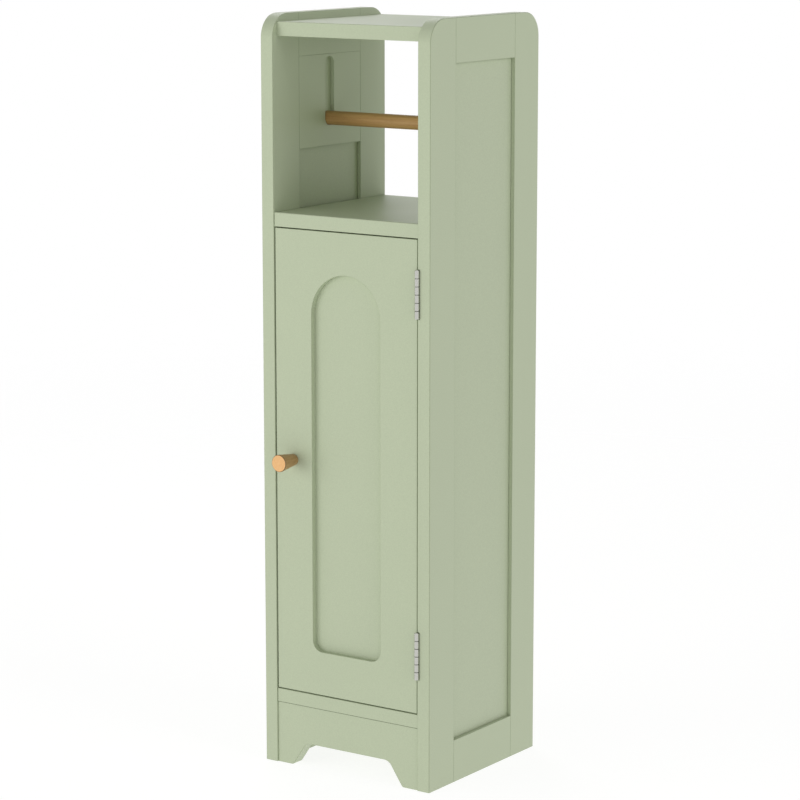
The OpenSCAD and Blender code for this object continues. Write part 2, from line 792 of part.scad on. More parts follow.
module strike_screws() {
    color(zinc) for (k = [-1, 1])
        translate([catch_screw_x(k), door_back + strike_t, strike_z]) rotate([90, 0, 0]) {
            cylinder(d1 = small_head_d, d2 = small_screw_d, h = strike_t);
            cylinder(d = small_screw_d, h = strike_t + strike_screw_in);
        }
}

// ---- what is drawn -------------------------------------------------------------

color(sage) on_side(-1) front_stile();  // left_front_stile
color(sage) on_side(-1) rear_stile();  // left_rear_stile
color(sage) on_side(-1) rail(cab_h - top_rail_h, top_rail_h, true);  // left_top_rail
color(sage) on_side(-1) rail(0, bottom_rail_h, false);  // left_bottom_rail
color(sage_inner) on_side(-1) centre_panel();  // left_panel
color(sage_inner) on_side(-1) rod_plate();  // left_rod_plate
color(sage) difference() { front_stile(); stile_hinge_seats(); }  // right_front_stile
color(sage) rear_stile();  // right_rear_stile
color(sage) rail(cab_h - top_rail_h, top_rail_h, true);  // right_top_rail
color(sage) rail(0, bottom_rail_h, false);  // right_bottom_rail
color(sage_inner) centre_panel();  // right_panel
color(sage_inner) rod_plate();  // right_rod_plate
top_board();
middle_shelf();
bottom_board();
apron();
back_panel();
inner_shelf();
shelf_pins();
cam_bolts();
cam_locks();
wooden_dowels();
roll_rod();
door();
knob();
knob_insert();
knob_screw();
knob_washer();
frame_leaf(upper_z);  // upper_hinge_frame_leaf
door_leaf(upper_z);  // upper_hinge_door_leaf
color(steel) translate([hinge_x, hinge_y, upper_z]) hinge_pin();  // upper_hinge_pin
frame_leaf(lower_z);  // lower_hinge_frame_leaf
door_leaf(lower_z);  // lower_hinge_door_leaf
color(steel) translate([hinge_x, hinge_y, lower_z]) hinge_pin();  // lower_hinge_pin
frame_leaf_screws();
door_leaf_screws();
catch_housing();
catch_magnet();
catch_pole_plates();
catch_screws();
strike_plate();
strike_screws();
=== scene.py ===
"""Slim bathroom storage cabinet: finishes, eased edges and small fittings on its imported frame.

Everything stands in metres in the row frame: +Z up, the door faces -Y, the floor is z = 0.
Sizes that a maker would quote are written in millimetres and turned to metres by MM.
"""

import logging
import math
from dataclasses import dataclass
from enum import Enum
from functools import cache
from typing import Any, Callable

import bmesh
import bpy
from mathutils import Matrix, Vector


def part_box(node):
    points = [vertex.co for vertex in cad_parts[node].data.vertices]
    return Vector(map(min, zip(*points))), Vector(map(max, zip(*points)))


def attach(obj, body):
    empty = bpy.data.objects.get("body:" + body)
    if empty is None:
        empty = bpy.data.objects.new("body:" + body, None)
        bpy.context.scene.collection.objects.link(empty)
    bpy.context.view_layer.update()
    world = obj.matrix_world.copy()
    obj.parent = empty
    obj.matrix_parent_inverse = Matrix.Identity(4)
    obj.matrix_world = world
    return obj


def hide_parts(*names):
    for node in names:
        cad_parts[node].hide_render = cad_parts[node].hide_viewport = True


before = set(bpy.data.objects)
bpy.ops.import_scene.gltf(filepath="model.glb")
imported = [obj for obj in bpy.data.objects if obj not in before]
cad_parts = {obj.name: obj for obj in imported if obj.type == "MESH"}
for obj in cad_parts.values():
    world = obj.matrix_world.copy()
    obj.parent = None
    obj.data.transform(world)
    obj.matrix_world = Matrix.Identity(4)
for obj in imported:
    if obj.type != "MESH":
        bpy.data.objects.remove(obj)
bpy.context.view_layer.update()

LOG = logging.getLogger("cabinet")
MM = 0.001
WELD = 1e-6  # vertices of a CAD node closer than this are one
FLAT = math.radians(0.5)  # faces that differ by less lie in one plane
SQUARE = math.radians(70)  # an edge is sharp enough to be eased from this angle on
CREASE = math.radians(35)  # shading breaks at edges sharper than this
TOUCH = 1e-5  # how close a vertex is to a plane that it lies on
SEAT_ROOM_MM = 1.5  # edges of wood this near a hinge leaf stay crisp
ARRIS, SEAM = 1, 2  # numbers of the faces on eased free edges and in seams
END, RIM = 1, 2  # numbers of the faces on the knob's free end and its rim
NOISE_SPAN = (0.3, 0.7)  # nearly all of a noise lies between these values
MIX_A, MIX_B, MIX_RESULT = 6, 7, 2  # a Mix node's sockets for colours
WHITE = (1.0, 1.0, 1.0, 1.0)
UP = Vector((0, 0, 1))
TO_FRONT = Vector((0, -1, 0))

Point = tuple[float, float, float]
Mesh = bpy.types.Mesh
Profile = list[tuple[float, float]]  # radius and height of each point, in millimetres
Box = tuple[Vector, Vector]  # lowest and highest corner


class Axis(Enum):
    """The three directions of the row frame."""

    X = 0
    Y = 1
    Z = 2


class Side(Enum):
    """Which side frame, as the cabinet's user sees it from the front."""

    LEFT = "left"
    RIGHT = "right"


class Level(Enum):
    """Which of the two hinges."""

    UPPER = "upper"
    LOWER = "lower"


class Body(Enum):
    """What moves as one."""

    CARCASS = "carcass"
    DOOR = "door"
    ROD = "roll_rod"


# ---- colour and node helpers ----


def linear(code: str, gain: float = 1.0) -> tuple[float, ...]:
    """An sRGB "#RRGGBB" code as a linear colour, its values multiplied by a gain."""
    def channel(start: int) -> float:
        """One channel's linear value."""
        value = int(code[start:start + 2], 16) / 255
        value = value / 12.92 if value <= 0.04045 else ((value + 0.055) / 1.055) ** 2.4
        return min(1.0, value * gain)

    return (channel(1), channel(3), channel(5), 1.0)


def add(tree: Any, kind: str, inputs: dict[Any, Any] | tuple[Any, ...] = (),
        **settings: Any) -> Any:
    """Adds one node to a tree, with its settings and links.

    Args:
        tree: The node tree.
        kind: The node's type.
        inputs: Values, sockets or nodes, which stand for their first output, by input name
            or number or in the inputs' order.
        **settings: Properties of the node itself.

    Returns:
        The new node.
    """
    made = tree.nodes.new(kind)
    for name, value in settings.items():
        setattr(made, name, value)
    for key, value in inputs.items() if isinstance(inputs, dict) else enumerate(inputs):
        if isinstance(value, bpy.types.Node):
            value = value.outputs[0]
        if isinstance(value, bpy.types.NodeSocket):
            tree.links.new(value, made.inputs[key])
        else:
            made.inputs[key].default_value = value
    return made


def cleared(owner: Any) -> Any:
    """The emptied node tree of a new material or world."""
    owner.use_nodes = True
    owner.node_tree.nodes.clear()
    return owner.node_tree


def in_scene(name: str, data: Any) -> bpy.types.Object:
    """A new object, linked to the scene."""
    made = bpy.data.objects.new(name, data)
    bpy.context.scene.collection.objects.link(made)
    return made


# ---- finishes ----


def object_noise(tree: Any, size_mm: float, detail: float, run_mm: float | None = None,
                 run: Axis = Axis.X) -> Any:
    """A noise on Object coordinates with features of a real width, and length along an axis."""
    sizes = [size_mm] * 3
    sizes[run.value] = run_mm or size_mm
    place = add(tree, "ShaderNodeTexCoord").outputs["Object"]
    scaled = add(tree, "ShaderNodeMapping",
                 {"Vector": place, "Scale": [1 / (size * MM) for size in sizes]})
    return add(tree, "ShaderNodeTexNoise", {"Vector": scaled, "Scale": 1.0, "Detail": detail})


def toned(tree: Any, factor: Any, colour: str, spread: float) -> Any:
    """The socket of a colour that a factor makes a share darker or lighter."""
    return add(tree, "ShaderNodeMix", {0: factor, MIX_A: linear(colour, 1 - spread),
                                       MIX_B: linear(colour, 1 + spread)},
               data_type="RGBA").outputs[MIX_RESULT]


def skin(tree: Any, relief: Any, depth_mm: float, look: dict[str, Any],
         sunk: bool = False) -> Any:
    """A Principled surface with the relief of a noise, whose peaks are hollows if sunk."""
    bump = add(tree, "ShaderNodeBump", {"Height": relief, "Strength": 1.0,
                                        "Distance": depth_mm * MM}, invert=sunk)
    return add(tree, "ShaderNodeBsdfPrincipled", {**look, "Normal": bump})


@dataclass(frozen=True)
class SprayedLacquer:
    """Polyurethane lacquer sprayed on MDF and left satin.

    The wet film draws up into a faint orange peel, which breaks the sheen, and the pigment
    lies a shade thinner or thicker from place to place.
    """

    name: str = "sprayed_satin_lacquer_on_mdf"
    slot: str = "sage_paint"
    colour: str = "#B5BFA2"
    roughness: float = 0.45
    ior: float = 1.46
    peel_mm: float = 1.5
    peel_depth_mm: float = 0.014
    speck_mm: float = 1.0  # coarser than the real speckle, so that it shows at all
    speck: float = 0.05
    drift_mm: float = 90.0
    drift: float = 0.008
    gloss_drift: float = 0.03

    def shade(self, tree: Any) -> Any:
        """Builds the lacquer and returns its shader node."""
        peel = object_noise(tree, self.peel_mm, detail=1.0)
        speck = object_noise(tree, self.speck_mm, detail=3.0)
        even = add(tree, "ShaderNodeMapRange", (speck, *NOISE_SPAN, 0.0, 1.0))
        tone = toned(tree, even, self.colour, self.speck)
        drift = object_noise(tree, self.drift_mm, detail=1.0)
        level = add(tree, "ShaderNodeMapRange",
                    (drift, *NOISE_SPAN, 1 - self.drift, 1 + self.drift))
        colour = add(tree, "ShaderNodeVectorMath", (tone, level), operation="MULTIPLY")
        gloss = add(tree, "ShaderNodeMapRange",
                    (drift, *NOISE_SPAN, self.roughness - self.gloss_drift,
                     self.roughness + self.gloss_drift))
        return skin(tree, peel, self.peel_depth_mm,
                    {"Base Color": colour, "Roughness": gloss, "IOR": self.ior})


@dataclass(frozen=True)
class LacqueredBeech:
    """Beech turned on a lathe and sealed with a clear satin lacquer.

    Steamed beech is an even warm tan with soft growth lines along the grain and short dark
    rays; the lacquer evens the sheen but leaves the pores a little open.
    """

    name: str
    slot: str
    light: str
    dark: str
    ray: str
    grain: Axis
    roughness: float = 0.45
    ior: float = 1.5
    line_mm: float = 1.6
    line_run_mm: float = 70.0
    line_span: tuple[float, float] = (0.35, 0.65)
    ray_mm: float = 0.4
    ray_run_mm: float = 4.0
    ray_span: tuple[float, float] = (0.6, 0.75)
    ray_strength: float = 0.55
    pore_depth_mm: float = 0.02

    def shade(self, tree: Any) -> Any:
        """Builds the wood and returns its shader node."""
        lines = object_noise(tree, self.line_mm, 3.0, self.line_run_mm, self.grain)
        line = add(tree, "ShaderNodeMapRange", (lines, *self.line_span, 0.0, 1.0))
        body = add(tree, "ShaderNodeMix", {0: line, MIX_A: linear(self.dark),
                                           MIX_B: linear(self.light)}, data_type="RGBA")
        rays = object_noise(tree, self.ray_mm, 1.0, self.ray_run_mm, self.grain)
        fleck = add(tree, "ShaderNodeMapRange", (rays, *self.ray_span, 0.0, self.ray_strength))
        colour = add(tree, "ShaderNodeMix", {0: fleck, MIX_A: body.outputs[MIX_RESULT],
                                             MIX_B: linear(self.ray)}, data_type="RGBA")
        return skin(tree, rays, self.pore_depth_mm,
                    {"Base Color": colour.outputs[MIX_RESULT], "Roughness": self.roughness,
                     "IOR": self.ior}, sunk=True)


@dataclass(frozen=True)
class PlatedMetal:
    """Pressed, turned or cast metal with a plated or bare skin.

    Tumbling and plating leave fine scratches along one direction, so the highlight is drawn
    out across them; cast skins have none and are duller.
    """

    name: str
    slot: str
    colour: str
    roughness: float
    gloss_spread: float = 0.05
    tone_spread: float = 0.04
    scratch_mm: float = 0.12
    scratch_run_mm: float = 3.0
    scratch_depth_mm: float = 0.002
    run: Axis = Axis.X

    def shade(self, tree: Any) -> Any:
        """Builds the metal and returns its shader node."""
        scratch = object_noise(tree, self.scratch_mm, 2.0, self.scratch_run_mm, self.run)
        gloss = add(tree, "ShaderNodeMapRange",
                    (scratch, *NOISE_SPAN, self.roughness - self.gloss_spread,
                     self.roughness + self.gloss_spread))
        tone = toned(tree, scratch, self.colour, self.tone_spread)
        return skin(tree, scratch, self.scratch_depth_mm,
                    {"Base Color": tone, "Metallic": 1.0, "Roughness": gloss})


@dataclass(frozen=True)
class MouldedPlastic:
    """Injection-moulded polypropylene, or a sintered ferrite, with the tool's fine grain."""

    name: str
    slot: str
    colour: str
    roughness: float
    tone_spread: float = 0.03
    ior: float = 1.49
    grain_mm: float = 0.35
    grain_depth_mm: float = 0.01

    def shade(self, tree: Any) -> Any:
        """Builds the moulded skin and returns its shader node."""
        grain = object_noise(tree, self.grain_mm, detail=2.0)
        tone = toned(tree, grain, self.colour, self.tone_spread)
        return skin(tree, grain, self.grain_depth_mm,
                    {"Base Color": tone, "Roughness": self.roughness, "IOR": self.ior})


# What a piece is made of and how its surface was worked
Finish = SprayedLacquer | LacqueredBeech | PlatedMetal | MouldedPlastic

SAGE_LACQUER = SprayedLacquer()
# Painted shade: a darker sage laid on the eased arrises for the shade along the rounded edges.
SAGE_ARRIS = SprayedLacquer("lacquer_with_painted_shade_on_an_arris", colour="#A1AC8D")
# A dark joint line with painted shade: a darker, duller sage in the seams, partly the joint's
# own colour and partly the shadow in the gap painted on.
SAGE_JOINT = SprayedLacquer("dark_joint_line_with_painted_shade", colour="#6E7760", roughness=0.7)
ROD_BEECH = LacqueredBeech("lacquered_beech_rod", "rod_wood", light="#B7925C", dark="#A67F4A",
                           ray="#896336", grain=Axis.X, line_mm=2.4)
# Lit and shaded copies of one beech, with light and shade painted in: the free end is the
# lighter copy, the side a darker copy for its shade, and the rim darker still for the shade on
# its rounding.
KNOB_BEECH = LacqueredBeech("beech_knob_side_with_painted_shade", "knob_wood", light="#AC8B5D", dark="#9E7D50",
                            ray="#8A6A3E", grain=Axis.Y)
KNOB_END = LacqueredBeech("beech_knob_end_with_painted_light", "knob_wood", light="#EAB97E",
                          dark="#E4B072", ray="#D9A064", grain=Axis.Y)
KNOB_RIM = LacqueredBeech("beech_knob_rim_with_painted_shade", "knob_wood", light="#8A6D45",
                          dark="#7C603B", ray="#6E5332", grain=Axis.Y)
DOWEL_BEECH = LacqueredBeech("bare_beech_dowel", "dowel_wood", light="#D8BC92", dark="#C8A878",
                             ray="#A5835A", grain=Axis.X, roughness=0.7)
SATIN_NICKEL = PlatedMetal("satin_nickel_plate", "satin_nickel", "#C3C3BD", roughness=0.2,
                           run=Axis.Z)
# Painted shade: a dark nickel on the knuckles' ends for the shade in the joints between the
# knuckles.
NICKEL_JOINT = PlatedMetal("nickel_with_painted_shade_between_knuckles", "satin_nickel", "#85857F",
                           roughness=0.5)
ZINC_PLATE = PlatedMetal("bright_zinc_plate", "steel_fittings", "#C3C6CA", roughness=0.28)
CAST_ZINC = PlatedMetal("as_cast_zinc_alloy", "zinc_alloy", "#A9ABAE", roughness=0.48,
                        scratch_mm=0.5, scratch_run_mm=0.5, scratch_depth_mm=0.01)
TURNED_BRASS = PlatedMetal("turned_brass", "brass", "#CFAF5E", roughness=0.3)
WHITE_PLASTIC = MouldedPlastic("moulded_white_polypropylene", "white_plastic", "#EFEFEA",
                               roughness=0.4)
FERRITE = MouldedPlastic("sintered_ferrite", "ferrite", "#3B3B3E", roughness=0.6, ior=2.0,
                         grain_mm=0.2, grain_depth_mm=0.02)


@cache
def material(finish: Finish) -> bpy.types.Material:
    """The finish's material, made the first time it is asked for."""
    made = bpy.data.materials.new(finish.name)
    tree = cleared(made)
    add(tree, "ShaderNodeOutputMaterial", {"Surface": finish.shade(tree)})
    return made


# ---- meshes ----


def closed_copy(node: str) -> bmesh.types.BMesh:
    """A CAD node's mesh, welded and with whole flat faces, for the caller to free."""
    work = bmesh.new()
    work.from_mesh(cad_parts[node].data)
    bmesh.ops.remove_doubles(work, verts=work.verts, dist=WELD)
    bmesh.ops.dissolve_limit(work, angle_limit=FLAT, verts=work.verts, edges=work.edges,
                             delimit=set())
    return work


def islands(node: str) -> list[Box]:
    """The box of each separate solid in a CAD node."""
    work = closed_copy(node)
    left = set(work.verts)
    boxes = []
    for seed in work.verts:
        if seed not in left:
            continue
        left.remove(seed)
        reached, places = [seed], []
        while reached:
            vert = reached.pop()
            places.append(vert.co)
            near = left.intersection(other for edge in vert.link_edges for other in edge.verts)
            left -= near
            reached += near
        boxes.append(tuple(Vector(pick(place[i] for place in places) for i in range(3))
                           for pick in (min, max)))
    work.free()
    return boxes


def sizes_mm(box: Box) -> list[float]:
    """A box's size along X, Y and Z, in millimetres."""
    return [(high - low) / MM for low, high in zip(*box)]


def lengthwise(box: Box) -> Vector:
    """The way along a box's longest side."""
    sizes = sizes_mm(box)
    way = Vector((0, 0, 0))
    way[sizes.index(max(sizes))] = 1
    return way


def outwards(box: Box) -> Vector:
    """The way from the middle of the cabinet to the side on which a box lies."""
    return Vector((1 if box[0].x > 0 else -1, 0, 0))


@dataclass(frozen=True)
class Place:
    """Where a piece made along +Z from the origin goes."""

    at: Vector  # middle of its first end
    along: Vector  # the way it points

    @classmethod
    def in_box(cls, box: Box, along: Vector) -> "Place":
        """The place at the end of a box from which a way along one axis starts."""
        low, high = box
        at = (low + high) / 2
        for axis, way in enumerate(along):
            if way:
                at[axis] = low[axis] if way > 0 else high[axis]
        return cls(at, along)

    @property
    def matrix(self) -> Matrix:
        """What puts the piece there."""
        turn = UP.rotation_difference(self.along)
        return Matrix.Translation(self.at) @ turn.to_matrix().to_4x4()


def arc(centre: tuple[float, float], radius: float, start: float, end: float,
        steps: int = 8) -> Profile:
    """Points of a profile's arc between two angles in degrees, 0 outwards and 90 up."""
    turns = [math.radians(start + (end - start) * i / steps) for i in range(steps + 1)]
    return [(centre[0] + radius * math.cos(t), centre[1] + radius * math.sin(t)) for t in turns]


def dome(radius: float, height: float) -> Profile:
    """Points of a rounded lower end, from the axis outwards."""
    turns = [math.radians(angle) for angle in range(0, 91, 15)]
    return [(radius * math.sin(t), height * (1 - math.cos(t))) for t in turns]


def smooth(mesh: Mesh) -> None:
    """Shades a mesh smooth, with breaks at its creases."""
    mesh.shade_smooth()
    mesh.set_sharp_from_angle(angle=CREASE)


def to_mesh(work: bmesh.types.BMesh, name: str, place: Matrix | None = None) -> Mesh:
    """Writes a bmesh to a named mesh, in its place and shaded smooth, and frees it."""
    if place is not None:
        bmesh.ops.transform(work, matrix=place, verts=work.verts)
    mesh = bpy.data.meshes.new(name)
    work.to_mesh(mesh)
    work.free()
    smooth(mesh)
    return mesh


def turned(name: str, profile: Profile, sides: int, place: Matrix | None = None) -> Mesh:
    """Turns a profile that starts and ends on the axis round it, as a mesh in its place."""
    work = bmesh.new()
    line = [work.verts.new((radius * MM, 0, height * MM)) for radius, height in profile]
    edges = [work.edges.new(pair) for pair in zip(line, line[1:])]
    bmesh.ops.spin(work, geom=line + edges, cent=(0, 0, 0), axis=(0, 0, 1), angle=math.tau,
                   steps=sides, use_duplicate=False)
    bmesh.ops.remove_doubles(work, verts=work.verts, dist=WELD)
    bmesh.ops.recalc_face_normals(work, faces=work.faces)
    return to_mesh(work, name, place)


@dataclass(frozen=True)
class Easing:
    """How the edges of a sawn or pressed piece are broken before it is finished."""

    arris_mm: float = 0.5  # radius on its free outer edges
    seam_mm: float = 0.22  # radius where it meets a neighbour, which leaves a hairline
    shortest_mm: float = 1.2  # shorter edges, such as those round a bore, stay crisp
    seams: tuple[tuple[Axis, float], ...] = ()  # planes where it meets a neighbour
    crisp: tuple[Box, ...] = ()  # boxes in which no edge is eased
    steps: int = 3  # faces across an eased edge

    @property
    def widest_mm(self) -> float:
        """The larger of its two radii."""
        return max(self.arris_mm, self.seam_mm)

    def share(self, edge: bmesh.types.BMEdge, box: Box) -> float:
        """How far an edge of a piece with a given box is eased, as a share of the widest."""
        if len(edge.link_faces) != 2 or not edge.is_convex:
            return 0.0
        if edge.calc_face_angle() < SQUARE or edge.calc_length() < self.shortest_mm * MM:
            return 0.0
        first, second = (vert.co for vert in edge.verts)

        def lies(axis: int, at: float) -> bool:
            """Whether the edge lies in a plane."""
            return abs(first[axis] - at) < TOUCH and abs(second[axis] - at) < TOUCH

        outer = any(lies(i, corner[i]) for i in range(3) for corner in box)
        seam = any(lies(axis.value, at) for axis, at in self.seams)
        middle = (first + second) / 2
        held = any(all(low[i] <= middle[i] <= high[i] for i in range(3))
                   for low, high in self.crisp)
        if held or not (outer or seam):
            return 0.0
        return (self.seam_mm if seam else self.arris_mm) / self.widest_mm

    def in_seam(self, place: Vector) -> bool:
        """Whether a place on an eased edge lies in one of the seams."""
        return any(abs(place[axis.value] - at) < self.seam_mm * MM for axis, at in self.seams)


def hinge_seats(leaf: str) -> tuple[Box, ...]:
    """The boxes round the hinges' frame or door leaves, in which wood stays crisp."""
    room = Vector((1, 1, 1)) * SEAT_ROOM_MM * MM
    leaves = [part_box(f"{level.value}_hinge_{leaf}_leaf") for level in Level]
    return tuple((low - room, high + room) for low, high in leaves)


def evaluated(holder: bpy.types.Object) -> Mesh:
    """The mesh that a new helper object's modifiers make; the helper is removed."""
    base = holder.data
    bpy.context.view_layer.update()
    graph = bpy.context.evaluated_depsgraph_get()
    result = bpy.data.meshes.new_from_object(holder.evaluated_get(graph), depsgraph=graph)
    bpy.data.objects.remove(holder)
    bpy.data.meshes.remove(base)
    return result


def eased_mesh(node: str, easing: Easing) -> Mesh:
    """A copy of a CAD node with eased edges, its faces numbered 0, ARRIS or SEAM."""
    work = closed_copy(node)
    layer = work.edges.layers.float.new("bevel_weight_edge")
    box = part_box(node)
    for edge in work.edges:
        edge[layer] = easing.share(edge, box)
    holder = in_scene("holder", to_mesh(work, node + "_crisp"))
    for _ in range(SEAM + 1):
        holder.data.materials.append(None)
    bevel = holder.modifiers.new("broken_edges", "BEVEL")
    bevel.limit_method = "WEIGHT"
    bevel.width = easing.widest_mm * MM
    bevel.segments = easing.steps
    bevel.use_clamp_overlap = False
    bevel.material = ARRIS
    mesh = evaluated(holder)
    for face in mesh.polygons:
        if face.material_index == ARRIS and easing.in_seam(face.center):
            face.material_index = SEAM
    return mesh


# ---- Geometry Nodes: fittings that repeat ----


def new_tree(name: str, inputs: dict[str, str]) -> Any:
    """A geometry node tree with geometry in and out and further inputs of given kinds."""
    tree = bpy.data.node_groups.new(name, "GeometryNodeTree")
    tree.interface.new_socket("Geometry", in_out="INPUT", socket_type="NodeSocketGeometry")
    tree.interface.new_socket("Geometry", in_out="OUTPUT", socket_type="NodeSocketGeometry")
    for label, kind in inputs.items():
        tree.interface.new_socket(label, in_out="INPUT", socket_type="NodeSocket" + kind)
    return tree


def dress(tree: Any, geometry: Any, finish: Any) -> None:
    """Ends a tree: its instances become real and take the finish from its socket."""
    real = add(tree, "GeometryNodeRealizeInstances", {"Geometry": geometry})
    dressed = add(tree, "GeometryNodeSetMaterial", {"Geometry": real, "Material": finish})
    add(tree, "NodeGroupOutput", {"Geometry": dressed})


def run_tree(tree: Any, base: Mesh, values: dict[str, Any]) -> Mesh:
    """Runs a tree with its named inputs on a mesh, which is used up; returns a new mesh."""
    holder = in_scene("holder", base)
    modifier = holder.modifiers.new("tree", "NODES")
    modifier.node_group = tree
    for socket in tree.interface.items_tree:
        if socket.in_out == "INPUT" and socket.name in values:
            modifier[socket.identifier] = values[socket.name]
    return evaluated(holder)


@cache
def set_out_tree() -> Any:
    """The tree that sets out a fitting at every point, turned to the point's own way."""
    tree = new_tree("set_out", {"Fitting": "Object", "Finish": "Material"})
    given = add(tree, "NodeGroupInput").outputs
    item = add(tree, "GeometryNodeObjectInfo", {"Object": given["Fitting"]})
    along = add(tree, "GeometryNodeInputNamedAttribute", {"Name": "along"},
                data_type="FLOAT_VECTOR")
    turn = add(tree, "FunctionNodeAlignRotationToVector",
               {"Vector": along.outputs["Attribute"]}, axis="Z")
    copies = add(tree, "GeometryNodeInstanceOnPoints",
                 {"Points": given["Geometry"], "Instance": item.outputs["Geometry"],
                  "Rotation": turn})
    dress(tree, copies, given["Finish"])
    return tree


def dowel_tree() -> Any:
    """The tree that makes one fluted dowel along +Z from its sizes.

    Its outline is a circle pressed in at every flute, swept along four rings: two at each
    end for the chamfer.
    """
    tree = new_tree("fluted_dowel", {"Length": "Float", "Diameter": "Float", "Chamfer": "Float",
                                     "Flutes": "Int", "Flute Depth": "Float",
                                     "Finish": "Material"})
    points, rings = 4, 4  # points round a flute, and rings along the dowel
    known = {socket.name: socket for socket in add(tree, "NodeGroupInput").outputs}
    known["index"] = add(tree, "GeometryNodeInputIndex").outputs[0]
    for name, operation, *values in (
            ("resolution", "MULTIPLY", "Flutes", points),
            ("angle", "MULTIPLY", "index", math.tau / points),
            ("wave", "COSINE", "angle"),
            ("raised", "ADD", "wave", 1.0),
            ("deep", "DIVIDE", "Flute Depth", "Diameter"),
            ("loss", "MULTIPLY", "deep", "raised"),
            ("reach", "SUBTRACT", 1.0, "loss"),
            ("far", "SUBTRACT", "Length", "Chamfer"),
            ("half", "DIVIDE", "Diameter", 2.0),
            ("offset", "SUBTRACT", "index", (rings - 1) / 2),
            ("inner", "ABSOLUTE", "offset"),
            ("end", "GREATER_THAN", "inner", 1.0),
            ("cut", "MULTIPLY", "end", "Chamfer"),
            ("radius", "SUBTRACT", "half", "cut")):
        inputs = tuple(known.get(value, value) for value in values)
        known[name] = add(tree, "ShaderNodeMath", inputs, operation=operation).outputs[0]
    ring = add(tree, "GeometryNodeCurvePrimitiveCircle", {"Resolution": known["resolution"]})
    fluted = add(tree, "ShaderNodeVectorMath",
                 {0: add(tree, "GeometryNodeInputPosition"), "Scale": known["reach"]},
                 operation="SCALE")
    outline = add(tree, "GeometryNodeSetPosition", {"Geometry": ring, "Position": fluted})
    line = add(tree, "GeometryNodeCurvePrimitiveLine")
    path = add(tree, "GeometryNodeResampleCurve", {"Curve": line, "Count": rings})
    height = add(tree, "GeometryNodeIndexSwitch", {"Index": known["index"]}, data_type="FLOAT")
    while len(height.index_switch_items) < rings:
        height.index_switch_items.new()
    # Its input 1, the first ring's height, stays 0.
    for number, name in enumerate(("Chamfer", "far", "Length"), 2):
        tree.links.new(known[name], height.inputs[number])
    spot = add(tree, "ShaderNodeCombineXYZ", {"Z": height})
    drawn = add(tree, "GeometryNodeSetPosition", {"Geometry": path, "Position": spot})
    solid = add(tree, "GeometryNodeCurveToMesh",
                {"Curve": drawn, "Profile Curve": outline, "Scale": known["radius"],
                 "Fill Caps": True})
    dress(tree, solid, known["Finish"])
    return tree


# ---- sub-assemblies ----


@dataclass(frozen=True)
class Screw:
    """A screw along +Z: head first, then a threaded shank. Its widths are diameters."""

    head_mm: float
    head_high_mm: float
    shank_mm: float  # over the thread
    length_mm: float  # from the top of the head to the tip
    countersunk: bool  # flat on top and tapered to the shank
    pitch_mm: float = 1.1
    thread_mm: float = 0.3  # depth of the thread
    edge_mm: float = 0.1  # small steps of its outline
    root_share: float = 0.6  # where on a turn the root ends
    crest_share: float = 0.8  # where on a turn the crest is
    dome_share: float = 0.55  # how much of a pan head's height is domed
    cross_mm: float = 0.5  # width of the cross recess's arms
    cross_deep_mm: float = 0.8
    cross_share: float = 0.55  # their length as a share of the head
    sides: int = 28

    def head(self) -> Profile:
        """The profile of the head, from the axis to the shank."""
        rim, shank = self.head_mm / 2, self.shank_mm / 2
        if self.countersunk:
            return [(0.0, 0.0), (rim - self.edge_mm, 0.0), (rim, self.edge_mm),
                    (shank, self.head_high_mm)]
        return dome(rim, self.head_high_mm * self.dome_share) + [
            (rim, self.head_high_mm), (shank, self.head_high_mm)]

    def shank(self) -> Profile:
        """The profile of the threaded shank, from the head to its point on the axis."""
        radius = self.shank_mm / 2
        root = radius - self.thread_mm
        turns = int((self.length_mm - self.head_high_mm - radius) / self.pitch_mm)
        points = []
        for turn in range(turns):
            low = self.head_high_mm + turn * self.pitch_mm
            points += [(root, low + self.edge_mm),
                       (root, low + self.pitch_mm * self.root_share),
                       (radius, low + self.pitch_mm * self.crest_share)]
        return points + [(root, self.length_mm - radius), (0.0, self.length_mm)]

    def mesh(self) -> Mesh:
        """One screw with a cross recess in its head, as a new closed mesh."""
        made = in_scene("screw", turned("screw", self.head() + self.shank(), self.sides))
        cutter = bmesh.new()
        long = self.head_mm * self.cross_share
        for size in ((long, self.cross_mm), (self.cross_mm, long)):
            box = Matrix.Diagonal((size[0] * MM, size[1] * MM, 2 * self.cross_deep_mm * MM, 1))
            bmesh.ops.create_cube(cutter, size=1.0, matrix=box)
        tool = in_scene("cross", to_mesh(cutter, "cross"))
        cut = made.modifiers.new("cross", "BOOLEAN")
        cut.object = tool
        cut.solver = "EXACT"
        cut.use_self = True
        mesh = evaluated(made)
        bpy.data.objects.remove(tool)
        return mesh


